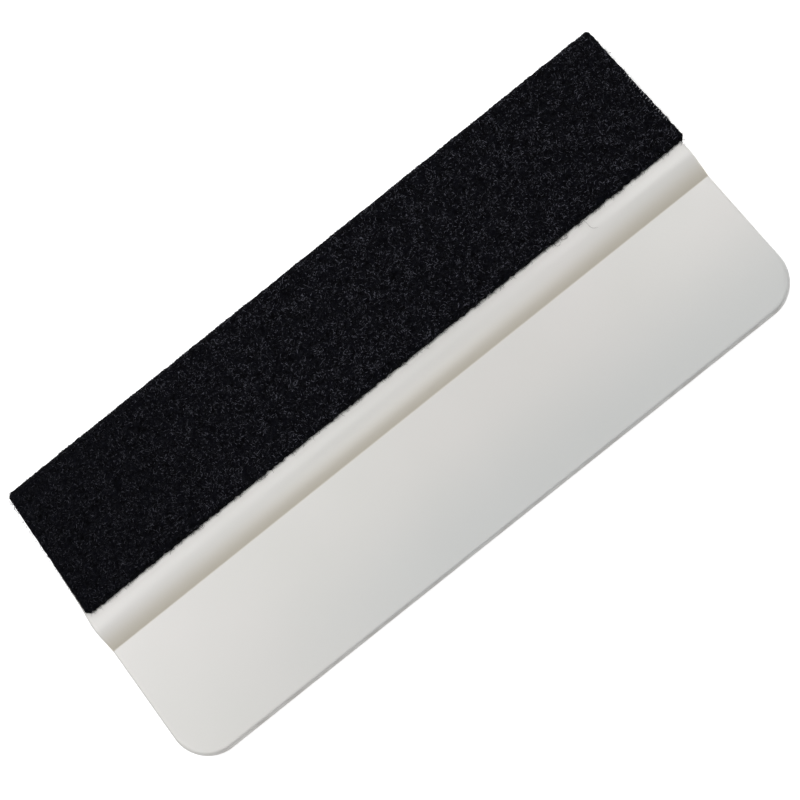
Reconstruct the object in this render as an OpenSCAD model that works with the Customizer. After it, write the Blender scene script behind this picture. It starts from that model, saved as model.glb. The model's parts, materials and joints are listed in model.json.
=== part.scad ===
// Hand squeegee with a felt-wrapped working edge, for smoothing down vinyl film.
//
// Three pieces: a one-piece moulded plastic body, a film of adhesive over its blade,
// and a strip of felt folded over the working edge and held by the adhesive.
//
// The cross-section is drawn in a plane of its own: its first axis points from the
// handle towards the working edge, its second through the thickness, and its origin
// is halfway across the width, on the middle plane. The tool is then leant back by
// a few degrees, as it lies by itself on a table: on the felt's lower cut edge and on
// the handle's free edge. +X runs along the working edge, +Y points towards the felt,
// +Z is up, and the origin is the middle of the footprint, on the table.

/* [Overall] */
// Length of the plastic body, along the working edge
body_l = 150; // [100:1:200]
// Width, from the outside of the folded felt to the handle's free edge
overall_w = 70; // [68:0.5:90]

/* [Handle plate] */
// Width of the handle plate, from its free edge to the foot of the rib
handle_w = 29.8; // [26:0.1:31]
// Thickness of the handle plate
plate_t = 2.6; // [2.4:0.1:3.6]
// Radius of the handle plate's two outer corners, seen from above
corner_r = 8; // [3:0.5:15]
// Radius along the handle plate's free edge
edge_r = 0.6; // [0.4:0.1:1.1]

/* [Rib] */
// Thickness over the rib's two crests
rib_t = 6; // [5.4:0.1:7]
// Width of the rounded fall from the crest to the foot of the rib
rib_fall = 5.8; // [4.5:0.1:6.5]

/* [Blade] */
// Thickness of the blade at its rounded working edge
tip_t = 1.6; // [1.2:0.1:2.4]

/* [Felt] */
// Width of felt on each face, from the fold to the cut edge
felt_w = 31.7; // [20:0.1:32.4]
// Thickness of the felt
felt_t = 1.0; // [0.8:0.1:1.5]
// Length of the felt strip, along the working edge
felt_l = 150.6; // [100:0.1:202]
// How far the middle of the strip sits from the middle of the body
felt_shift = 0.8; // [0:0.1:1.5]
// Thickness of the adhesive film under the felt
adhesive_t = 0.15; // [0.1:0.05:0.3]

/* [Hidden] */
$fn = 96;

// Straight steps in each rounded stretch of a cross-section
arc_steps = 12;

cover_t = felt_t + adhesive_t;

// Round working edge of the bare blade
tip_r = tip_t / 2;
tip_y = overall_w / 2 - cover_t - tip_r;

// The rib falls to its foot along a circle whose top is the crest
handle_y = -overall_w / 2;
foot_y = handle_y + handle_w;
crest_y = foot_y + rib_fall;
rib_h = (rib_t - plate_t) / 2;
rib_r = (rib_fall * rib_fall + rib_h * rib_h) / (2 * rib_h);
rib_z = rib_t / 2 - rib_r;

// Each face of the blade is the line that touches both the tip and the rib's circle
circles_gap = norm([tip_y - crest_y, rib_z]);
taper = atan2(rib_z, tip_y - crest_y) + asin((rib_r - tip_r) / circles_gap);
foot_angle = 90 + asin(rib_fall / rib_r);

// Felt strip
felt_y = overall_w / 2 - felt_w;
felt_half_t = half_thickness(cover_t, felt_y);

// How far the tool leans back when it lies on the felt's cut edge and the handle's edge
handle_round_y = handle_y + edge_r;
handle_round_z = plate_t / 2 - edge_r;
rest_span = felt_y - handle_round_y;
rest_drop = felt_half_t - handle_round_z;
lean = atan2(rest_drop, rest_span) - asin(edge_r / norm([rest_span, rest_drop]));

// The leant tool's footprint, and how far it is lifted to stand on the table
x_low = min(-body_l / 2, felt_shift - felt_l / 2);
x_high = max(body_l / 2, felt_shift + felt_l / 2);
y_low = handle_round_y * cos(lean) - handle_round_z * sin(lean) - edge_r;
y_high = tip_y * cos(lean) + tip_r + cover_t;
lift = felt_half_t * cos(lean) - felt_y * sin(lean);

// A cut that must pass clean through a surface goes this much past it
past = 1;

// Half the thickness at y of the blade when it is covered by a layer cover thick
function half_thickness(cover, y) = (tip_r + cover) / cos(taper) + (tip_y - y) * tan(taper);

// Points on a circle, from one angle to another in even steps
function arc(centre, r, from, to, steps = arc_steps) = [
    for (i = [0:steps])
        let (angle = from + (to - from) * i / steps)
            centre + r * [cos(angle), sin(angle)]
];

function reversed(points) = [for (i = [len(points) - 1:-1:0]) points[i]];

// The same run of points below the middle plane, run the other way
function below(points) = [for (p = reversed(points)) [p[0], -p[1]]];

// The round tip of the blade under a cover, from its upper face to its lower face
function tip_arc(cover) =
    arc([tip_y, 0], tip_r + cover, 90 - taper, taper - 90, 2 * arc_steps);

// The blade's surface under a cover, from the felt's upper cut edge over the tip to its lower one
function covered_blade(cover) = concat(
    [[felt_y, half_thickness(cover, felt_y)]],
    tip_arc(cover),
    [[felt_y, -half_thickness(cover, felt_y)]]
);

// Leans a piece drawn level back to its place on the table
module laid_down() {
    translate([-(x_low + x_high) / 2, -(y_low + y_high) / 2, lift])
        rotate([lean, 0, 0])
            children();
}

// Extrudes a cross-section along the working edge, centred on x = middle
module along_edge(length, middle = 0) {
    translate([middle - length / 2, 0, 0])
        rotate([90, 0, 90])
            linear_extrude(height = length)
                children();
}

// Cross-section of the body. The handle's free edge, the rib and the tip are rounded, and
// straight faces join them.
module body_section() {
    upper_face = concat(
        arc([handle_round_y, handle_round_z], edge_r, 180, 90),
        arc([crest_y, rib_z], rib_r, foot_angle, 90 - taper)
    );
    polygon(concat(upper_face, tip_arc(0), below(upper_face)));
}

// Cross-section of a layer of even thickness wrapped round the blade, over what is inside it
module wrapped_section(inside, thickness) {
    polygon(concat(covered_blade(inside + thickness), reversed(covered_blade(inside))));
}

// The waste outside a rounded corner that has its centre at the origin
module corner_waste(r) {
    difference() {
        square(r + past);
        circle(r = r);
    }
}

// Everything that is rounded off at the handle plate's two outer corners
module corner_cuts() {
    for (side = [0, 1])
        mirror([side, 0, 0])
            translate([body_l / 2 - corner_r, handle_y + corner_r, -plate_t])
                mirror([0, 1, 0])
                    linear_extrude(height = 2 * plate_t) corner_waste(corner_r);
}

// Moulded body: handle plate, rib and tapered blade in one piece
module squeegee_body() {
    color("whitesmoke")
        laid_down()
            difference() {
                along_edge(body_l) body_section();
                corner_cuts();
            }
}

// Pressure-sensitive film that holds the felt to the blade
module adhesive_film() {
    color("lightyellow")
        laid_down()
            along_edge(felt_l, felt_shift)
                wrapped_section(0, adhesive_t);
}

// Brushed felt, folded over the working edge
module felt_strip() {
    color([0.05, 0.05, 0.06])
        laid_down()
            along_edge(felt_l, felt_shift)
                wrapped_section(adhesive_t, felt_t);
}

squeegee_body();
adhesive_film();
felt_strip();
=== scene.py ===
"""A felt-edged hand squeegee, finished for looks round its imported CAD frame.

New meshes stand for the three CAD solids: the plastic body gets its moulded edges, groove
and parting line, the adhesive film is set back from the felt's cuts, and the felt gets its
nap, ragged cut edges and loose fibres.

Shapes are worked out in the tool's own level plane, as in part.scad: y runs from the handle's
free edge to the felt, z through the thickness, and the origin is halfway across the width on
the middle plane. laid() leans them back to the way the tool lies on the table. Sizes are in
metres and angles in radians. An array's last axis holds the three coordinates of a point.
"""
import json
import math

import bmesh
import bpy
import numpy as np
from mathutils import Matrix, Vector, noise


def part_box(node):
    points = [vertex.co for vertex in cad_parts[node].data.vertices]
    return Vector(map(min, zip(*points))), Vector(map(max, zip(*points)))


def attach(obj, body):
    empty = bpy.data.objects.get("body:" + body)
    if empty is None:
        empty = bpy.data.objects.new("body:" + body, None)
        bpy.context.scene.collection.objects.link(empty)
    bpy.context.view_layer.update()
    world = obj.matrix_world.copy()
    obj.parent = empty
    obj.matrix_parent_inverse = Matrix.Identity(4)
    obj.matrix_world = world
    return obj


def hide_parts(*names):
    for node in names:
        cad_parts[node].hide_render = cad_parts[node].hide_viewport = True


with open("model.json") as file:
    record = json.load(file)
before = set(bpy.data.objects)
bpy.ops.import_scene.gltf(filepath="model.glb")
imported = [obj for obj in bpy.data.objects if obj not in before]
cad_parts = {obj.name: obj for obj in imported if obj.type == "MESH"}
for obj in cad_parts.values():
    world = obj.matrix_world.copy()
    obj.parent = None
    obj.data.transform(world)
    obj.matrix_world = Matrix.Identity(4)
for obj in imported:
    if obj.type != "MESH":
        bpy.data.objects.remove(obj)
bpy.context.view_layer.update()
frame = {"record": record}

MM = 0.001
DEGREE = math.pi / 180

# Driving sizes that the frame's boxes don't give
OVERALL_W = 70 * MM
HANDLE_W = 29.8 * MM
CORNER_R = 8 * MM
RIB_T = 6.0 * MM
RIB_FALL = 5.8 * MM
TIP_R = 0.8 * MM
FELT_W = 31.7 * MM

# Sizes that the frame gives
body_low, body_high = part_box("squeegee_body")
_, film_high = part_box("adhesive_film")
felt_low, felt_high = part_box("felt_strip")
BODY_MIDDLE_X = (body_low.x + body_high.x) / 2
BODY_HALF_L = (body_high.x - body_low.x) / 2
FILM_T = film_high.y - body_high.y
FELT_T = felt_high.y - film_high.y
COVER_T = FILM_T + FELT_T

# The two mounts face each other across the handle plate, so they give its middle plane
mounts = {mount["name"]: mount for mount in frame["record"]["mounts"]}
plate_front = Vector(mounts["handle_front"]["pos_m"])
plate_back = Vector(mounts["handle_back"]["pos_m"])
plate_normal = Vector(mounts["handle_front"]["axis"])
plate_middle = (plate_front + plate_back) / 2
PLATE_T = (plate_front - plate_back).length
LEAN = math.atan2(-plate_normal.y, plate_normal.z)

# Cross-section of the body, worked out as in part.scad
HANDLE_Y = -OVERALL_W / 2
FOOT_Y = HANDLE_Y + HANDLE_W
CREST_Y = FOOT_Y + RIB_FALL
TIP_Y = OVERALL_W / 2 - COVER_T - TIP_R
RIB_H = (RIB_T - PLATE_T) / 2
RIB_R = (RIB_FALL**2 + RIB_H**2) / (2 * RIB_H)
RIB_Z = RIB_T / 2 - RIB_R
CIRCLES_GAP = math.hypot(TIP_Y - CREST_Y, RIB_Z)
TAPER = math.atan2(RIB_Z, TIP_Y - CREST_Y) + math.asin((RIB_R - TIP_R) / CIRCLES_GAP)
BLADE_START_Y = CREST_Y + RIB_R * math.sin(TAPER)
BLADE_END_Y = TIP_Y + TIP_R * math.sin(TAPER)
FELT_Y = OVERALL_W / 2 - FELT_W

# Where the level plane's origin lies once the tool is laid down
LEVEL_Y = body_high.y - TIP_R - TIP_Y * math.cos(LEAN)
LEVEL_Z = plate_middle.z + (LEVEL_Y - plate_middle.y) * math.tan(LEAN)

# Felt: unfolded, it is two flat faces joined by the fold round the tip
MID_COVER = FILM_T + FELT_T / 2
FACE_W = (TIP_Y + (TIP_R + MID_COVER) * math.sin(TAPER) - FELT_Y) / math.cos(TAPER)
FOLD_ANGLE = math.pi - 2 * TAPER
FOLD_W = (TIP_R + MID_COVER) * FOLD_ANGLE
FLAT_W = 2 * FACE_W + FOLD_W
FELT_L = felt_high.x - felt_low.x


# ---------- geometry shared by the pieces ----------

def points(x, y, z):
    """Arrays of coordinates, stretched to one shape and joined into an array of points."""
    return np.stack(np.broadcast_arrays(x, y, z), axis=-1)


def laid(level):
    """Points of the level plane, leant back to their place on the table."""
    x, y, z = level[..., 0], level[..., 1], level[..., 2]
    leant_y = y * math.cos(LEAN) - z * math.sin(LEAN)
    leant_z = y * math.sin(LEAN) + z * math.cos(LEAN)
    return points(x, LEVEL_Y + leant_y, LEVEL_Z + leant_z)


def smooth_noise(places, size):
    """Perlin noise from -1 to 1 at each of the places, with features about this size."""
    flat = places.reshape(-1, 3) / size
    values = [noise.noise(Vector(place)) for place in flat]
    return np.array(values).reshape(places.shape[:-1])


def layered_noise(places, layers):
    """Noises of several sizes added up, from the share and the size of each."""
    return sum(share * smooth_noise(places, size) for share, size in layers)


def eased(t):
    """0 below 0, 1 above 1, and a smooth rise between them."""
    t = np.clip(t, 0, 1)
    return t * t * (3 - 2 * t)


def rounding_drop(distance, reach, depth):
    """How far a rounded edge lies below its surface, at this distance in from the edge."""
    inside = np.clip(1 - distance / reach, 0, 1)
    return depth * (1 - np.sqrt(1 - inside**2))


def rounding_steps(reach, count):
    """Distances from an edge that step evenly round its rounding."""
    return reach * (1 - np.cos(np.linspace(0, math.pi / 2, count)))


def steps_after(start, stop, count):
    """This many even steps from start to stop, without start itself."""
    return np.linspace(start, stop, count + 1)[1:]


def make_object(name, vertices, faces, material):
    """A smooth-shaded mesh object that rides on the root body."""
    mesh = bpy.data.meshes.new(name)
    mesh.from_pydata(vertices.reshape(-1, 3).tolist(), [], faces)
    mesh.materials.append(material)
    mesh.shade_smooth()
    piece = bpy.data.objects.new(name, mesh)
    bpy.context.scene.collection.objects.link(piece)
    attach(piece, "root")
    return piece


def point_outwards(piece):
    """Turns every face of a closed mesh to face outwards."""
    bm = bmesh.new()
    bm.from_mesh(piece.data)
    bmesh.ops.recalc_face_normals(bm, faces=bm.faces)
    bm.to_mesh(piece.data)
    bm.free()


def add_attribute(piece, name, values):
    """A number at each vertex, for the piece's material to read."""
    attribute = piece.data.attributes.new(name, "FLOAT", "POINT")
    attribute.data.foreach_set("value", np.ravel(values).astype(np.float32))


def grid_faces(index):
    """Quads of a grid of vertices, or of a row of such grids, from their numbers."""
    first, second = index[..., :-1, :], index[..., 1:, :]
    corners = [first[..., :-1], first[..., 1:], second[..., 1:], second[..., :-1]]
    return np.stack(corners, axis=-1).reshape(-1, 4).tolist()


def perimeter(grid):
    """The entries round the border of a grid, in order, without repeating a corner."""
    return np.concatenate([grid[0, :-1], grid[:-1, -1], grid[-1, :0:-1], grid[:0:-1, 0]])


def two_skins(name, upper, lower, between, material):
    """A closed mesh: two grids of points, joined round their borders through loops of points."""
    count = upper.shape[0] * upper.shape[1]
    upper_index = np.arange(count).reshape(upper.shape[:2])
    lower_index = upper_index + count
    loops = [perimeter(upper_index)]
    next_free = 2 * count
    for loop in between:
        loops.append(np.arange(next_free, next_free + len(loop)))
        next_free += len(loop)
    loops.append(perimeter(lower_index))
    closed = [np.append(loop, loop[0]) for loop in loops]
    faces = grid_faces(upper_index) + grid_faces(lower_index) + grid_faces(np.stack(closed))
    vertices = np.concatenate([upper.reshape(-1, 3), lower.reshape(-1, 3), *between])
    piece = make_object(name, vertices, faces, material)
    point_outwards(piece)
    return piece


# ---------- node materials ----------

class Nodes:
    """A material being put together: each method adds a node and gives back its output."""

    def __init__(self, name):
        self.material = bpy.data.materials.new(name)
        self.material.use_nodes = True
        self.tree = self.material.node_tree
        self.shader = self.tree.nodes["Principled BSDF"]
        self.place = self.tree.nodes.new("ShaderNodeTexCoord").outputs["Object"]

    def join(self, value, socket):
        """Links an output to a socket, or sets the socket where the value is a plain number."""
        if isinstance(value, bpy.types.NodeSocket):
            self.tree.links.new(value, socket)
        else:
            socket.default_value = value

    def stretched(self, scale):
        """The object's own coordinates, scaled differently along each axis."""
        node = self.tree.nodes.new("ShaderNodeVectorMath")
        node.operation = "MULTIPLY"
        self.join(self.place, node.inputs[0])
        node.inputs[1].default_value = scale
        return node.outputs[0]

    def noise(self, size, detail=2.0, distortion=0.0, place=None):
        """Noise from 0 to 1 with features about this size, in metres."""
        node = self.tree.nodes.new("ShaderNodeTexNoise")
        self.join(place or self.place, node.inputs["Vector"])
        node.inputs["Scale"].default_value = 1 / size
        node.inputs["Detail"].default_value = detail
        node.inputs["Distortion"].default_value = distortion
        return node.outputs["Fac"]

    def maths(self, operation, first, second=0.0):
        """One step of arithmetic."""
        node = self.tree.nodes.new("ShaderNodeMath")
        node.operation = operation
        self.join(first, node.inputs[0])
        self.join(second, node.inputs[1])
        return node.outputs[0]

    def ranged(self, value, limits, to=(0.0, 1.0)):
        """A value moved from between its limits to another range, and kept inside that."""
        node = self.tree.nodes.new("ShaderNodeMapRange")
        for socket, number in zip(node.inputs, (value, *limits, *to)):
            self.join(number, socket)
        return node.outputs["Result"]

    def attribute(self, name):
        """A number that the mesh holds at each vertex."""
        node = self.tree.nodes.new("ShaderNodeAttribute")
        node.attribute_name = name
        return node.outputs["Fac"]

    def mixed(self, share, first, second):
        """A colour between two others."""
        node = self.tree.nodes.new("ShaderNodeMix")
        node.data_type = "RGBA"
        colours = [socket for socket in node.inputs if socket.type == "RGBA"]
        self.join(share, node.inputs["Factor"])
        self.join(first, colours[0])
        self.join(second, colours[1])
        return next(socket for socket in node.outputs if socket.type == "RGBA")

    def fibres(self, size, width, distortion=1.5):
        """1 along thin curling lines and 0 between them: where noise crosses its middle value."""
        past_middle = self.maths("SUBTRACT", self.noise(size, 1.0, distortion), 0.5)
        return self.ranged(self.maths("ABSOLUTE", past_middle), (0.0, width), (1.0, 0.0))

    def bump(self, height, depth):
        """Sets the shader's normal from a height of 0 to 1, worth depth metres."""
        node = self.tree.nodes.new("ShaderNodeBump")
        node.inputs["Strength"].default_value = 1.0
        node.inputs["Distance"].default_value = depth
        self.join(height, node.inputs["Height"])
        self.join(node.outputs["Normal"], self.shader.inputs["Normal"])

    def finish(self, colour, roughness, **constants):
        """Joins colour and roughness to the shader, and sets its other sockets by name."""
        self.join(colour, self.shader.inputs["Base Color"])
        self.join(roughness, self.shader.inputs["Roughness"])
        for name, value in constants.items():
            self.shader.inputs[name.replace("_", " ")].default_value = value
        return self.material


def rgb(red, green, blue):
    """A linear colour, with its alpha."""
    return (red, green, blue, 1.0)


def body_material():
    """Moulded polypropylene: cloudy off-white, with painted shade: warmer in the groove, greyer by
    the free edge.
    """
    greenish, pinkish = rgb(0.655, 0.650, 0.622), rgb(0.690, 0.672, 0.652)
    # Painted shade that greys the plate towards the handle's free edge
    handle_shade_grey = rgb(0.600, 0.608, 0.598)
    # Painted shade in the groove, darker and warmer
    groove_shade_tan = rgb(0.560, 0.520, 0.440)
    # Painted shade on the rounding of the handle's free edge
    edge_shade_brown = rgb(0.30, 0.275, 0.255)

    # Colour: each painted shade is mixed over the one before, as strongly as the mesh's attribute
    # says
    nodes = Nodes("moulded_plastic")
    cloud = nodes.ranged(nodes.noise(26 * MM), (0.2, 0.8))
    base = nodes.mixed(cloud, greenish, pinkish)
    # Painted shade: greyer towards the free edge, fading out towards the -X end
    held = nodes.mixed(nodes.attribute("held"), base, handle_shade_grey)
    # Painted shade: the rib's foot and the plate by the groove turn darker and warmer
    groove_shade_share = nodes.maths("MULTIPLY", nodes.attribute("groove"), 0.9)
    tinted = nodes.mixed(groove_shade_share, held, groove_shade_tan)
    # Painted shade on the free edge's rounding, in patches; the same mask also roughens it
    edge_shade_patches = nodes.ranged(nodes.noise(3 * MM, 3.0), (0.38, 0.62), (0.5, 1.0))
    painted_edge_shade = nodes.maths("MULTIPLY", nodes.attribute("edge"), edge_shade_patches)
    edge_shade_share = nodes.maths("MULTIPLY", painted_edge_shade, 0.6)
    colour = nodes.mixed(edge_shade_share, tinted, edge_shade_brown)

    # Surface: moulded grain and ripple, with shallow rubs that run along the tool. The denoiser
    # leaves blotches on plastic that is glossier than this.
    grain = nodes.noise(0.45 * MM)
    ripple = nodes.noise(6 * MM, 1.0)
    along_edge = nodes.stretched((0.08, 1.0, 1.0))
    rubs = nodes.ranged(nodes.noise(0.9 * MM, 2.0, 0.3, along_edge), (0.62, 0.74))
    moulded = nodes.maths("ADD", grain, nodes.maths("MULTIPLY", ripple, 1.5))
    worn = nodes.maths("SUBTRACT", moulded, nodes.maths("MULTIPLY", rubs, 0.3))
    nodes.bump(worn, 0.010 * MM)
    gloss_patches = nodes.ranged(nodes.noise(16 * MM), (0.2, 0.8), (0.28, 0.34))
    roughness = nodes.maths("ADD", gloss_patches, nodes.maths("MULTIPLY", painted_edge_shade, 0.15))
    return nodes.finish(colour, roughness, Specular_IOR_Level=0.5)


def film_material():
    """Pressure-sensitive adhesive: pale amber, glossy, with trapped air and lint."""
    amber, milky = rgb(0.62, 0.58, 0.45), rgb(0.74, 0.71, 0.60)
    lint_grey = rgb(0.12, 0.12, 0.12)

    nodes = Nodes("adhesive")
    lint = nodes.fibres(1.4 * MM, 0.02)
    cloud = nodes.noise(2.5 * MM, 3.0)
    base = nodes.mixed(cloud, amber, milky)
    lint_share = nodes.maths("MULTIPLY", lint, 0.5)
    colour = nodes.mixed(lint_share, base, lint_grey)
    nodes.bump(nodes.noise(0.8 * MM), 0.02 * MM)
    return nodes.finish(colour, nodes.ranged(cloud, (0.3, 0.7), (0.18, 0.34)))


def felt_material():
    """Brushed black felt: matted curling fibres over a darker ground, with painted highlights on
    the strands and painted shade in the nap's hollows.
    """
    shaded_hollow_black, lit_raised_black = rgb(0.0003, 0.0003, 0.0006), rgb(0.0034, 0.0036, 0.0058)
    # Painted highlight colour of the strands
    strand_highlight_grey = rgb(0.018, 0.019, 0.025)

    nodes = Nodes("brushed_felt")
    fine = nodes.fibres(0.55 * MM, 0.035)
    coarse = nodes.fibres(0.95 * MM, 0.028, 2.5)
    patches = nodes.ranged(nodes.noise(0.8 * MM), (0.42, 0.62))
    strands = nodes.maths("MULTIPLY", nodes.maths("MAXIMUM", fine, coarse), patches)
    mottle = nodes.ranged(nodes.noise(1.3 * MM, 3.0, 0.5), (0.3, 0.7))
    # Painted shade: the ground is darker where the nap's bump is low and lighter where it is raised
    ground = nodes.mixed(mottle, shaded_hollow_black, lit_raised_black)
    # Painted highlight: the strands are lighter than the ground
    colour = nodes.mixed(strands, ground, strand_highlight_grey)
    nodes.bump(nodes.maths("ADD", strands, mottle), 0.12 * MM)
    roughness = nodes.ranged(strands, (0.0, 1.0), (0.95, 0.75))
    gloss = {"Specular_IOR_Level": 0.03, "Sheen_Weight": 0.01, "Sheen_Roughness": 0.6}
    return nodes.finish(colour, roughness, **gloss)


def fibre_material(name, dark, light):
    """Loose fibres: each has its own tone, a little uneven along its length; on the pile, the paler
    fibres are painted highlights.
    """
    nodes = Nodes(name)
    uneven = nodes.ranged(nodes.noise(0.35 * MM, 1.0), (0.3, 0.7), (0.6, 1.0))
    tone_and_glint = nodes.maths("MULTIPLY", nodes.attribute("tone_and_glint"), uneven)
    colour = nodes.mixed(tone_and_glint, dark, light)
    nodes.bump(nodes.noise(0.1 * MM, 1.0), 0.004 * MM)
    roughness = nodes.ranged(tone_and_glint, (0.0, 1.0), (0.85, 0.6))
    return nodes.finish(colour, roughness, Specular_IOR_Level=0.1)


def floor_material():
    """Plain pale studio floor that glows a little, like a light table, so shadows stay faint."""
    nodes = Nodes("studio_floor")
    grain = nodes.noise(4 * MM)
    colour = nodes.mixed(grain, rgb(0.60, 0.60, 0.60), rgb(0.62, 0.62, 0.62))
    nodes.join(rgb(1, 1, 1), nodes.shader.inputs["Emission Color"])
    return nodes.finish(colour, 0.85, Specular_IOR_Level=0.1, Emission_Strength=0.72)


# ---------- plastic body ----------

# Rounded edges: how far each rounding reaches in, how deep it goes, and the most of half the
# body's thickness that an end's rounding takes
FREE_EDGE_REACH = 0.5 * MM
FREE_EDGE_DEPTH = 0.8 * MM
END_REACH = 0.45 * MM
END_DEPTH = 0.45 * MM
MOST_END_DEPTH_SHARE = 0.45
GROOVE_FILLET = 0.06 * MM

# Marks of the mould: the parting line, with the most of the side wall's half height that its
# ridge takes, the shrinkage of the plate's faces, and the shape of the ends
PARTING_RIDGE = 0.03 * MM
PARTING_HALF_W = 0.09 * MM
MOST_PARTING_SHARE = 0.8
SHRINK_DEPTH = 0.025 * MM
SHRINK_SIZE = 30 * MM
SHRINK_FADE_TO_GROOVE = 4 * MM
SHRINK_FADE_TO_EDGE = 6 * MM
RIB_END_BULGE = 0.3 * MM
TIP_END_DRAFT = 0.9 * MM
END_SHAPE_REACH = 5 * MM

# How far each painted shade on the plastic spreads
GROOVE_SHADE_UP = 4.8 * MM
GROOVE_SHADE_DOWN = 0.25 * MM
HANDLE_SHADE_WIDTH = 24 * MM
EDGE_SHADE_WIDTH = 0.3 * MM

# Rows and columns of the mesh, which lie closer together by the edges and the groove
EDGE_SPAN = FREE_EDGE_REACH + 0.3 * MM
GROOVE_SPAN = 0.9 * MM
CORNER_STEPS = 28
MIDDLE_STEPS = 90
EDGE_ROWS = 14
PLATE_ROWS = 17
GROOVE_ROWS = 18
RIB_ROWS = 15
BLADE_ROWS = 15
TIP_ROWS = 8
TIP_STOP = 0.97 * math.pi / 2


def blade_half_t(y):
    """Half the thickness of the bare blade along its straight faces."""
    return TIP_R / math.cos(TAPER) + (TIP_Y - y) * math.tan(TAPER)


def body_half_t(y):
    """Half the thickness of the body at y, away from its ends."""
    rib = RIB_Z + np.sqrt(np.maximum(RIB_R**2 - (y - CREST_Y) ** 2, 0))
    gap = rib - PLATE_T / 2
    fillet = np.maximum(GROOVE_FILLET - np.abs(gap), 0) ** 2 / (4 * GROOVE_FILLET)
    handle = np.maximum(rib, PLATE_T / 2) + fillet
    tip = np.sqrt(np.maximum(TIP_R**2 - (y - TIP_Y) ** 2, 0))
    stretches = [y < CREST_Y, y < BLADE_START_Y, y < BLADE_END_Y]
    return np.select(stretches, [handle, rib, blade_half_t(y)], tip)


def body_edge_distance(x, y):
    """Distance in plan to the nearest of the ends, the free edge and the rounded corners."""
    from_end = BODY_HALF_L - np.abs(x - BODY_MIDDLE_X)
    from_free_edge = y - HANDLE_Y
    in_corner = (from_end < CORNER_R) & (from_free_edge < CORNER_R)
    from_corner = CORNER_R - np.hypot(CORNER_R - from_end, CORNER_R - from_free_edge)
    return np.where(in_corner, from_corner, np.minimum(from_end, from_free_edge))


def free_edge_share(x, y):
    """1 where the nearest edge is the free edge, 0 where it is an end, blended round a corner."""
    from_end = np.clip(CORNER_R - BODY_HALF_L + np.abs(x - BODY_MIDDLE_X), 0, None)
    from_free_edge = np.clip(CORNER_R - (y - HANDLE_Y), 0, None)
    return eased(np.arctan2(from_free_edge, from_end) / (math.pi / 2))


def body_edge_size(x, y):
    """Reach and depth of the nearest edge's rounding, blended from edge to edge at a corner."""
    share = free_edge_share(x, y)
    end_depth = np.minimum(END_DEPTH, MOST_END_DEPTH_SHARE * body_half_t(y))
    reach = END_REACH + (FREE_EDGE_REACH - END_REACH) * share
    return reach, end_depth + (FREE_EDGE_DEPTH - end_depth) * share


def body_columns():
    """Stations along the body: even steps round each corner and between the corners."""
    turn = np.linspace(0, math.pi / 2, CORNER_STEPS + 1)
    corner = BODY_HALF_L - CORNER_R + CORNER_R * np.sin(turn)
    middle = np.linspace(-corner[0], corner[0], MIDDLE_STEPS + 1)[1:-1]
    return BODY_MIDDLE_X + np.concatenate([-corner[::-1], middle, corner])


def body_rows(start):
    """Rows across the body from where it starts at one station to the tip."""
    edge = start + np.append(rounding_steps(FREE_EDGE_REACH, EDGE_ROWS), EDGE_SPAN)
    plate = steps_after(start + EDGE_SPAN, FOOT_Y - GROOVE_SPAN, PLATE_ROWS)
    groove = FOOT_Y + GROOVE_SPAN * steps_after(-1, 1, GROOVE_ROWS)
    rib = steps_after(FOOT_Y + GROOVE_SPAN, BLADE_START_Y, RIB_ROWS)
    blade = steps_after(BLADE_START_Y, BLADE_END_Y, BLADE_ROWS)
    tip = TIP_Y + TIP_R * np.sin(steps_after(TAPER, TIP_STOP, TIP_ROWS))
    return np.concatenate([edge, plate, groove, rib, blade, tip])


def body_start(x):
    """Where the handle's outline starts at x: the free edge, or the arc of a corner."""
    into_corner = np.abs(x - BODY_MIDDLE_X) - (BODY_HALF_L - CORNER_R)
    into_corner = np.clip(into_corner, 0, CORNER_R)
    return HANDLE_Y + CORNER_R - np.sqrt(CORNER_R**2 - into_corner**2)


def end_shape(x, y):
    """How far along X each place moves: the rib's ends stand proud and the blade's draw in."""
    bulge = RIB_END_BULGE * eased(1 - np.abs(y - CREST_Y) / RIB_FALL)
    draft = TIP_END_DRAFT * eased((y - CREST_Y) / (TIP_Y - CREST_Y))
    from_end = BODY_HALF_L - np.abs(x - BODY_MIDDLE_X)
    near_end = eased(1 - from_end / END_SHAPE_REACH)
    return (bulge - draft) * near_end * np.sign(x - BODY_MIDDLE_X)


def parting_loops(rim, rim_z):
    """Loops round the body's side wall, with a fine ridge where the halves of the mould met."""
    centre = np.array([BODY_MIDDLE_X, 0.0])
    along = np.roll(rim, -1, axis=0) - np.roll(rim, 1, axis=0)
    outwards = np.stack([along[:, 1], -along[:, 0]], axis=-1)
    outwards /= np.linalg.norm(outwards, axis=1, keepdims=True)
    outwards *= np.sign(np.sum(outwards * (rim - centre), axis=1, keepdims=True))
    loops = []
    for z, ridge in ((1, 0), (0, 1), (-1, 0)):
        height = np.minimum(PARTING_HALF_W, MOST_PARTING_SHARE * rim_z) * z
        bulged = rim + outwards * PARTING_RIDGE * ridge
        loops.append(laid(points(bulged[:, 0], bulged[:, 1], height)))
    return loops


def shrinkage(x, y, distance):
    """How far the faces of the handle plate have shrunk in as the moulding cooled."""
    flat_share = eased((FOOT_Y - y) / SHRINK_FADE_TO_GROOVE) * eased(distance / SHRINK_FADE_TO_EDGE)
    return SHRINK_DEPTH * flat_share * (1 + smooth_noise(points(x, y, 0), SHRINK_SIZE)) / 2


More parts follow.
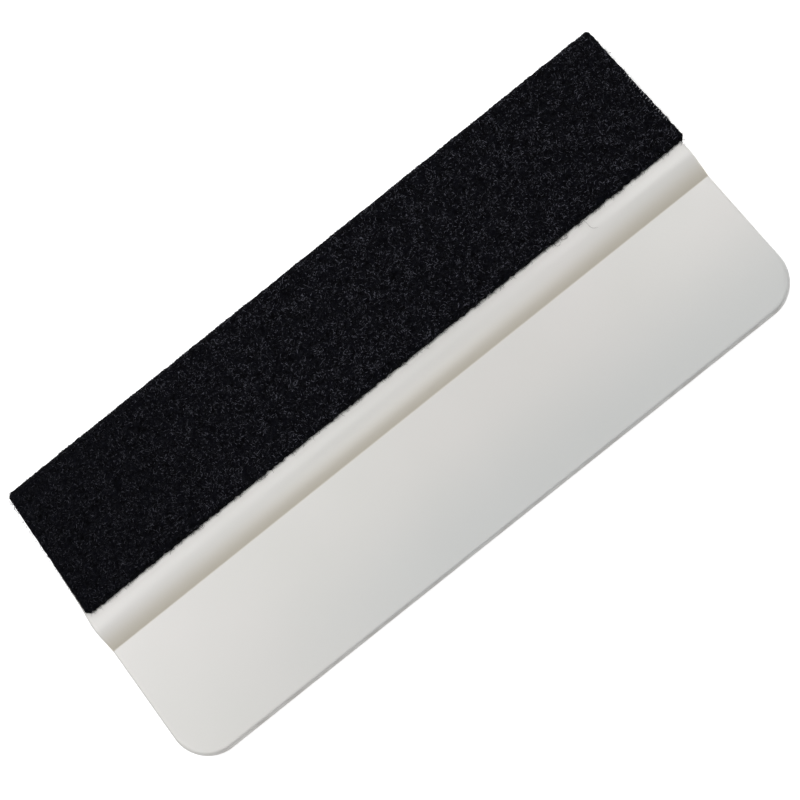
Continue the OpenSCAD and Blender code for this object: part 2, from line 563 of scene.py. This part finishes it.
def body_tints(x, y, distance):
    """How strongly each place takes painted shade: towards the free edge, on its rounding, in the
    groove.
    """
    groove_shade_reach = np.where(y > FOOT_Y, GROOVE_SHADE_UP, GROOVE_SHADE_DOWN)
    return {
        # painted shade that greys the plate towards the free edge, none at the -X end
        "held": eased(1 - (y - HANDLE_Y) / HANDLE_SHADE_WIDTH) * eased((x - body_low.x) / BODY_HALF_L),
        # painted shade on the rounding of the free edge
        "edge": free_edge_share(x, y) * eased(1 - distance / EDGE_SHADE_WIDTH),
        # painted shade on the rib's foot and, narrowly, on the plate by the groove
        "groove": eased(1 - np.abs(y - FOOT_Y) / groove_shade_reach),
    }


def squeegee_body(material):
    """One-piece moulded body: handle plate, rib and tapered blade, the same on both faces."""
    stations = body_columns()
    y = np.stack([body_rows(body_start(x)) for x in stations], axis=1)
    x = np.broadcast_to(stations, y.shape)
    distance = body_edge_distance(x, y)
    reach, depth = body_edge_size(x, y)
    z = body_half_t(y) - rounding_drop(distance, reach, depth) - shrinkage(x, y, distance)
    x = x + end_shape(x, y)
    front, back = laid(points(x, y, z)), laid(points(x, y, -z))
    loops = parting_loops(perimeter(np.stack([x, y], axis=-1)), perimeter(z))
    piece = two_skins("plastic_body", front, back, loops, material)

    for name, share in body_tints(x, y, distance).items():
        on_rim = np.tile(perimeter(share), len(loops))
        add_attribute(piece, name, np.concatenate([share.ravel(), share.ravel(), on_rim]))
    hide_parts("squeegee_body")
    return piece


# ---------- felt ----------

# Rows and columns of the felt's and the film's meshes
FOLD_STEPS = 14
FACE_STEPS = 44
LENGTH_STEPS = 420
FILM_COLUMNS = 120
FILM_FACE_ROWS = 24
FILM_FOLD_ROWS = 16

# Cut edges: softened, slanted at one end, ragged, and with rounded corners
CUT_ZONE = 0.45 * MM
CUT_SOFTNESS = 0.4
CUT_CORNER_R = 0.7 * MM
LEFT_FOLD_CORNER_R = 1.8 * MM
RIGHT_FOLD_CORNER_R = 0.8 * MM
LEFT_CUT_SLANT = 0.4 * MM
END_INSET_REACH = 3 * MM
RAGGED_DEPTH = 0.38 * MM
RAGGED_REACH = 1.2 * MM
RAGGED_END_SHARE = 0.5

# The film ends short of the cuts, and past it the felt's underside sags towards the blade
FILM_SETBACK = 0.4 * MM
PAST_FILM_SHARE = 0.9
PAST_FILM_COVER = 0.1 * FILM_T
RIM_COVER = MID_COVER - 0.1 * FELT_T

# Uneven surfaces, as the share and the size of each noise in them
FRAY_LAYERS = ((0.4, 2.6 * MM), (0.9, 0.9 * MM))
NAP_LAYERS = ((1.0, 2.6 * MM), (0.8, 1.1 * MM))
NAP_HEIGHT = 0.09 * MM

# Nothing of the felt comes nearer to the table than this
FLOOR_GAP = 0.01 * MM


def wrapped(x, across, cover):
    """Points of a layer that lies over the blade's tip, from places on the unfolded felt.

    across runs from the upper cut edge (0) over the fold to the lower one (FLAT_W), and
    cover is the height over the bare blade. It also gives the directions away from the blade.
    """
    past_face = np.clip(across - FACE_W, 0, FOLD_W)
    angle = math.pi / 2 - TAPER - past_face / (TIP_R + MID_COVER)
    before_fold = np.minimum(across - FACE_W, 0)
    after_fold = np.maximum(across - FACE_W - FOLD_W, 0)
    ny, nz = np.cos(angle), np.sin(angle)
    run = before_fold + after_fold
    y = TIP_Y + (TIP_R + cover) * ny + run * nz
    z = (TIP_R + cover) * nz - run * ny
    return points(x, y, z), points(0 * x, ny, nz)


def end_inset(across, fold_corner_radius):
    """How far an end of the felt draws in where its corners are rounded in plan."""
    outer, _ = wrapped(0 * across, across, COVER_T)
    from_fold = OVERALL_W / 2 - outer[..., 1]
    from_cut = np.minimum(across, FLAT_W - across)
    at_fold = rounding_drop(from_fold, fold_corner_radius, fold_corner_radius)
    return at_fold + rounding_drop(from_cut, CUT_CORNER_R, CUT_CORNER_R)


def felt_grid():
    """Places on the unfolded felt, with its rounded corners and ragged cut edges."""
    face = np.linspace(0, FACE_W, FACE_STEPS + 1)
    fold = np.linspace(FACE_W, FACE_W + FOLD_W, FOLD_STEPS + 1)[1:]
    across = np.concatenate([face, fold, FACE_W + FOLD_W + face[1:]])[:, None]
    along = np.linspace(0, FELT_L, LENGTH_STEPS + 1)[None, :]
    across, along = np.broadcast_arrays(across, along)

    left_share = eased(1 - along / END_INSET_REACH)
    right_share = eased(1 - (FELT_L - along) / END_INSET_REACH)
    slant = LEFT_CUT_SLANT * np.clip(1 - np.abs(across - FLAT_W / 2) / FACE_W, 0, 1)
    inset = (end_inset(across, LEFT_FOLD_CORNER_R) + slant) * left_share
    inset -= end_inset(across, RIGHT_FOLD_CORNER_R) * right_share
    fray = RAGGED_DEPTH * layered_noise(points(along, across, 0), FRAY_LAYERS)
    upper_cut = eased(1 - across / RAGGED_REACH)
    lower_cut = eased(1 - (FLAT_W - across) / RAGGED_REACH)
    end_share = eased(1 - along / RAGGED_REACH) + eased(1 - (FELT_L - along) / RAGGED_REACH)
    x = felt_low.x + along + inset + RAGGED_END_SHARE * fray * end_share
    return x, across + fray * (upper_cut + lower_cut)


def distance_to_cut(x, across):
    """Distance over the unfolded felt to its nearest cut edge."""
    from_ends = np.minimum(x - felt_low.x, felt_high.x - x)
    from_sides = np.minimum(across, FLAT_W - across)
    return np.clip(np.minimum(from_ends, from_sides), 0, None)


def nap(places):
    """Height of the brushed surface over the felt's mean face."""
    return NAP_HEIGHT * layered_noise(places, NAP_LAYERS)


def above_floor(placed):
    """The same points, with any that would sink into the table brought up to it."""
    placed[..., 2] = np.maximum(placed[..., 2], FLOOR_GAP)
    return placed


def adhesive(material):
    """Film that holds the felt, folded with it and set back a little from its cuts."""
    start = felt_low.x + FILM_SETBACK + LEFT_CUT_SLANT
    x = np.linspace(start, felt_high.x - FILM_SETBACK, FILM_COLUMNS)[None, :]
    face = np.linspace(FILM_SETBACK, FACE_W, FILM_FACE_ROWS)
    fold = np.linspace(FACE_W, FACE_W + FOLD_W, FILM_FOLD_ROWS)[1:-1]
    across = np.concatenate([face, fold, FLAT_W - face[::-1]])[:, None]
    x, across = np.broadcast_arrays(x, across)
    upper, _ = wrapped(x, across, FILM_T)
    lower, _ = wrapped(x, across, 0)
    piece = two_skins("adhesive", laid(upper), laid(lower), [], material)
    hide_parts("adhesive_film")
    return piece


def felt_strip(material):
    """Felt folded over the working edge, from its nap down to the adhesive."""
    x, across = felt_grid()
    cut_drop = CUT_SOFTNESS * FELT_T * (1 - eased(distance_to_cut(x, across) / CUT_ZONE))
    middle, _ = wrapped(x, across, MID_COVER)
    outer, _ = wrapped(x, across, COVER_T - cut_drop + nap(middle))
    past_film = distance_to_cut(x, across) < PAST_FILM_SHARE * FILM_SETBACK
    inner, _ = wrapped(x, across, np.where(past_film, PAST_FILM_COVER, FILM_T))
    rim, _ = wrapped(perimeter(x), perimeter(across), RIM_COVER)
    piece = two_skins("felt", above_floor(laid(outer)), laid(inner), [laid(rim)], material)
    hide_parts("felt_strip")
    return piece


# ---------- loose fibres ----------

# Shape of one fibre: its sides, how it thins towards its ends, how much sooner than its tip it
# is back on the surface, and a direction that no fibre takes
FIBRE_SIDES = 3
FIBRE_END = 0.08
FIBRE_FULLNESS = 0.4
LANDING_PACE = 1.15
NO_FIBRE_WAY = np.array([0.31, 0.23, 0.92])

# Shades: few fibres are pale, and painted light makes them paler towards +X, so fewest are pale
# near the -X end
SHADE_POWER = 2.3
LEAST_PAINTED_LIGHT = 0.6
MOST_PAINTED_LIGHT = 1.14
PAINTED_LIGHT_RISE = 0.45 * FELT_L

# Fibres crowd together in clumps, with strays between them
CLUMP_SIZE = 2.0 * MM
CLUMP_STRAY = 0.6

# The pile: how many fibres each part has, and how far it stays from the long cuts and the ends
FRONT_THIRD_COUNT = 9000
FOLD_COUNT = 4000
BACK_COUNT = 9500
PILE_CUT_MARGIN = 0.2 * MM
PILE_END_MARGIN = 0.3 * MM

# Long fibres that lie on the rib, listed one by one: where each leaves the felt along X, the way
# it sets off, how far it turns and how long it is, in millimetres and degrees
RIB_CURLS = [
    (-60.0, -100, 150, 1.6),
    (-34.0, -60, 200, 1.0),
    (-13.0, -110, -220, 1.8),
    (9.0, -120, 170, 0.9),
    (27.0, -70, -160, 1.1),
    (42.4, -100, 310, 3.4),
    (43.4, -60, -330, 4.6),
    (44.2, -130, 260, 3.0),
    (45.1, -60, -400, 4.2),
    (48.8, -60, -150, 1.6),
    (50.0, -112, 75, 3.9),
    (50.9, -80, -190, 1.9),
]

# One seeded source of chance, drawn from in the order in which the pieces are made
random = np.random.default_rng(20)


def spread(low, high, count):
    """This many random numbers, spread evenly between two values."""
    return random.uniform(low, high, count)


def painted_light_along_x(x):
    """Painted light on the fibres at x: least near the felt's -X end, rising towards +X."""
    return LEAST_PAINTED_LIGHT + (MOST_PAINTED_LIGHT - LEAST_PAINTED_LIGHT) * eased((x - felt_low.x) / PAINTED_LIGHT_RISE)


def frames_along(paths):
    """Two directions across each path at each of its points, square to it and to each other."""
    along = np.gradient(paths, axis=1)
    along /= np.linalg.norm(along, axis=2, keepdims=True)
    side = np.cross(along, NO_FIBRE_WAY)
    side /= np.linalg.norm(side, axis=2, keepdims=True)
    return side, np.cross(along, side)


def tubes(name, paths, radius, material):
    """One piece made of many fibres: paths has a row of points for each, in the level plane."""
    count, steps = paths.shape[:2]
    placed = laid(paths)
    side, other = frames_along(placed)
    turns = (2 * math.pi * np.arange(FIBRE_SIDES) / FIBRE_SIDES)[:, None]
    taper = np.sin(math.pi * np.linspace(FIBRE_END, 1 - FIBRE_END, steps)) ** FIBRE_FULLNESS
    width = (radius[:, None] * taper)[..., None, None]
    ring = side[:, :, None] * np.cos(turns) + other[:, :, None] * np.sin(turns)
    vertices = above_floor(placed[:, :, None] + width * ring)
    index = np.arange(count * steps * FIBRE_SIDES).reshape(count, steps, FIBRE_SIDES)
    walls = grid_faces(np.concatenate([index, index[:, :, :1]], axis=2))
    caps = index[:, 0, ::-1].tolist() + index[:, -1].tolist()
    piece = make_object(name, vertices, walls + caps, material)
    # Each fibre's own tone, times painted light that pales the fibres towards +X
    tone_and_glint = painted_light_along_x(paths[:, 0, 0]) * random.random(count) ** SHADE_POWER
    add_attribute(piece, "tone_and_glint", np.repeat(tone_and_glint, steps * FIBRE_SIDES))
    return piece


def curled(start, across, outwards, heading, length, curl, lift, steps):
    """Paths that curl over a surface and lift off it.

    start, across and outwards have a point or direction for each fibre, heading is its angle
    from +X towards across, curl the angle it turns through, and lift its greatest height.
    """
    t = np.linspace(0, 1, steps)[None, :]
    angle = heading[:, None] + curl[:, None] * t
    step = length[:, None] / (steps - 1)
    x_run = np.cumsum(np.cos(angle) * step, axis=1)
    y_run = np.cumsum(np.sin(angle) * step, axis=1)
    rise = lift[:, None] * np.sin(math.pi * np.clip(LANDING_PACE * t, 0, 1))
    x_axis = np.array([1.0, 0.0, 0.0])
    return (
        start[:, None]
        + x_run[..., None] * x_axis
        + y_run[..., None] * across[:, None]
        + rise[..., None] * outwards[:, None]
    )


def on_felt(x, across, sink):
    """Places on the felt's surface, with the directions across it and away from it."""
    middle, outwards = wrapped(x, across, MID_COVER)
    place = wrapped(x, across, COVER_T - sink)[0] + outwards * nap(middle)[:, None]
    over = np.stack([0 * x, outwards[:, 2], -outwards[:, 1]], axis=-1)
    return place, over, outwards


def matted(x, across, count):
    """This many of the places, more of them where the fibres crowd together."""
    crowding = smooth_noise(points(x, across, 0), CLUMP_SIZE)
    crowding += spread(-CLUMP_STRAY, CLUMP_STRAY, len(x))
    chosen = np.argsort(crowding)[-count:]
    return x[chosen], across[chosen]


def pile(name, from_across, to_across, count, material):
    """Fibres brushed up from the felt between two places across it."""
    sink = 0.03 * MM
    start = felt_low.x + LEFT_CUT_SLANT + PILE_END_MARGIN
    x = spread(start, felt_high.x - PILE_END_MARGIN, 2 * count)
    x, across = matted(x, spread(from_across, to_across, 2 * count), count)
    place, over, outwards = on_felt(x, across, sink)
    length = spread(0.25 * MM, 0.6 * MM, count) * spread(0.7, 1.8, count)
    lift = spread(0.02 * MM, 0.12 * MM, count)
    heading = spread(0, 2 * math.pi, count)
    curl = spread(-2.8, 2.8, count)
    radius = spread(0.025 * MM, 0.065 * MM, count)
    paths = curled(place, over, outwards, heading, length, curl, lift, steps=4)
    return tubes(name, paths, radius, material)


def cut_fringe(name, material):
    """Short fibres that stick out of the felt's two long cut edges, over the rib's flanks."""
    count = 5000
    margin = 0.6 * MM
    x = spread(felt_low.x + margin, felt_high.x - margin, 2 * count)
    x, across = matted(x, FLAT_W * random.integers(0, 2, 2 * count), count)
    sink = spread(0.05 * MM, 0.8 * FELT_T, count)
    place, over, outwards = on_felt(x, across, sink)
    away = np.where(across > 0, 1.0, -1.0)
    heading = away * (math.pi / 2 + spread(-1.2, 1.2, count))
    length = 0.15 * MM + 0.9 * MM * random.random(count) ** 4
    lift = spread(-0.05 * MM, 0.05 * MM, count)
    curl = spread(-2.2, 2.2, count)
    radius = spread(0.018 * MM, 0.038 * MM, count)
    paths = curled(place, over, outwards, heading, length, curl, lift, steps=5)
    return tubes(name, paths, radius, material)


def end_fringe(name, material):
    """Short fibres that stick out of the felt's two ends."""
    count = 900
    margin = 0.3 * MM
    root = 0.1 * MM
    left = random.random(count) < 0.5
    across = spread(margin, FLAT_W - margin, count)
    left_x = felt_low.x + root + end_inset(across, LEFT_FOLD_CORNER_R)
    right_x = felt_high.x - root - end_inset(across, RIGHT_FOLD_CORNER_R)
    sink = spread(0.1, 0.9, count) * FELT_T
    place, over, outwards = on_felt(np.where(left, left_x, right_x), across, sink)
    heading = np.where(left, math.pi, 0) + spread(-1.1, 1.1, count)
    length = spread(0.15 * MM, 0.5 * MM, count)
    lift = spread(-0.05 * MM, 0.08 * MM, count)
    curl = spread(-2.0, 2.0, count)
    radius = spread(0.012 * MM, 0.024 * MM, count)
    paths = curled(place, over, outwards, heading, length, curl, lift, steps=5)
    return tubes(name, paths, radius, material)


def edge_ticks(name, material):
    """A row of pale strands pulled out by the blade that cut the felt to length."""
    pitch = 0.8 * MM
    root = 0.75 * MM
    stray = 0.1 * MM
    proud = 0.04 * MM
    right = np.arange(FELT_W * 0.36, FELT_W * 0.80, pitch)
    left = np.arange(FELT_W * 0.03, FELT_W * 0.12, pitch)
    from_fold = np.concatenate([right, left])
    at_right = np.arange(len(from_fold)) < len(right)
    across = FACE_W - from_fold
    count = len(across)
    x = np.where(at_right, felt_high.x - root, felt_low.x + root) + spread(-stray, stray, count)
    place, over, outwards = on_felt(x, across, -proud)
    heading = np.where(at_right, 0, math.pi) + spread(0.1, 0.5, count)
    lift = spread(0.03 * MM, 0.07 * MM, count)
    length = spread(0.45 * MM, 0.7 * MM, count)
    curl = spread(-0.4, 0.4, count)
    radius = spread(0.05 * MM, 0.07 * MM, count)
    paths = curled(place, over, outwards, heading, length, curl, lift, steps=6)
    return tubes(name, paths, radius, material)


def rib_curls(name, material):
    """A few long fibres that have worked out of the upper cut edge and lie curled on the rib."""
    radius = 0.024 * MM
    most_lift = 0.12 * MM
    root = 0.2 * MM
    wobble = 18 * DEGREE
    wobble_pace = 9
    t = np.linspace(0, 1, 24)
    paths = []
    for x, heading, curl, length in RIB_CURLS:
        angle = (heading + curl * t) * DEGREE + wobble * np.sin(wobble_pace * t)
        step = length * MM / (len(t) - 1)
        path_x = x * MM + np.cumsum(np.cos(angle)) * step
        path_y = FELT_Y + root + np.cumsum(np.sin(angle)) * step
        lift = radius + most_lift * np.sin(math.pi * t)
        paths.append(points(path_x, path_y, body_half_t(path_y) + lift))
    return tubes(name, np.stack(paths), np.full(len(paths), radius), material)


# ---------- studio ----------

# The camera turns about the tool, and its place is across, up and back from the middle once it
# is turned. The lens and the sensor are in millimetres, as Blender takes them.
CAMERA_TILT = 21.74 * DEGREE
CAMERA_SIDE = 0.81 * DEGREE
CAMERA_ROLL = 38.37 * DEGREE
CAMERA_PLACE = Vector((-0.46 * MM, -0.14 * MM, 433 * MM))
LENS = 97.67
SENSOR_W = 36.0
NEAREST_SEEN = 10 * MM

SURROUND_STRENGTH = 0.15
FLOOR_R = 6.0
FLOOR_SIDES = 96


def camera():
    """Looks down on the tool from above its handle, turned so that it lies across the picture."""
    data = bpy.data.cameras.new("camera")
    data.lens = LENS
    data.sensor_width = SENSOR_W
    data.clip_start = NEAREST_SEEN
    piece = bpy.data.objects.new("camera", data)
    turn = (
        Matrix.Rotation(CAMERA_SIDE, 4, "Y")
        @ Matrix.Rotation(CAMERA_TILT, 4, "X")
        @ Matrix.Rotation(-CAMERA_ROLL, 4, "Z")
    )
    piece.matrix_world = Matrix.Translation(turn @ CAMERA_PLACE) @ turn
    bpy.context.scene.collection.objects.link(piece)
    bpy.context.scene.camera = piece


def softbox(name, place, size, power):
    """A square area light that faces the origin, under the tool's middle."""
    data = bpy.data.lights.new(name, "AREA")
    data.size = size
    data.energy = power
    piece = bpy.data.objects.new(name, data)
    piece.location = place
    towards_tool = Vector() - Vector(place)
    piece.rotation_euler = towards_tool.to_track_quat("-Z", "Y").to_euler()
    piece.visible_camera = False
    bpy.context.scene.collection.objects.link(piece)


def lights():
    """Four near soft lights above, a low one at the right end, and an even white surround."""
    softbox("left_light", (-0.22, 0.08, 0.36), size=0.16, power=0.70)
    softbox("back_light", (-0.06, 0.11, 0.36), size=0.10, power=0.14)
    softbox("right_light", (0.14, 0.11, 0.36), size=0.10, power=0.29)
    softbox("front_light", (0.0, -0.12, 0.36), size=0.16, power=0.28)
    softbox("right_fill", (0.36, 0.03, 0.07), size=0.16, power=0.40)
    world = bpy.data.worlds.new("surround")
    world.use_nodes = True
    background = world.node_tree.nodes["Background"]
    background.inputs["Color"].default_value = rgb(1, 1, 1)
    background.inputs["Strength"].default_value = SURROUND_STRENGTH
    bpy.context.scene.world = world
    bpy.context.scene.view_settings.view_transform = "Standard"


def floor(material):
    """A wide round floor at the height of the table."""
    mesh = bpy.data.meshes.new("floor")
    bm = bmesh.new()
    bmesh.ops.create_circle(bm, cap_ends=True, radius=FLOOR_R, segments=FLOOR_SIDES)
    bm.to_mesh(mesh)
    bm.free()
    mesh.materials.append(material)
    piece = bpy.data.objects.new("floor", mesh)
    bpy.context.scene.collection.objects.link(piece)


# ---------- the scene ----------

camera()
lights()
floor(floor_material())

squeegee_body(body_material())
adhesive(film_material())
felt = felt_strip(felt_material())
# Painted highlight: the pile's paler fibres stand in for glints on the black fibres
pile_fibre = fibre_material("pile_fibre", rgb(0.002, 0.002, 0.003), rgb(0.140, 0.142, 0.175))
fringe_fibre = fibre_material("fringe_fibre", rgb(0.003, 0.003, 0.003), rgb(0.05, 0.05, 0.05))
pale_fibre = fibre_material("pale_fibre", rgb(0.30, 0.30, 0.32), rgb(0.60, 0.60, 0.62))
loose = [
    pile("pile_front_inner", PILE_CUT_MARGIN, FACE_W / 3, FRONT_THIRD_COUNT, pile_fibre),
    pile("pile_front_middle", FACE_W / 3, FACE_W * 2 / 3, FRONT_THIRD_COUNT, pile_fibre),
    pile("pile_front_outer", FACE_W * 2 / 3, FACE_W, FRONT_THIRD_COUNT, pile_fibre),
    pile("pile_fold", FACE_W, FACE_W + FOLD_W, FOLD_COUNT, pile_fibre),
    pile("pile_back", FACE_W + FOLD_W, FLAT_W - PILE_CUT_MARGIN, BACK_COUNT, pile_fibre),
    cut_fringe("cut_fringe", fringe_fibre),
    end_fringe("end_fringe", fringe_fibre),
    edge_ticks("edge_ticks", pale_fibre),
    rib_curls("rib_curls", fringe_fibre),
]
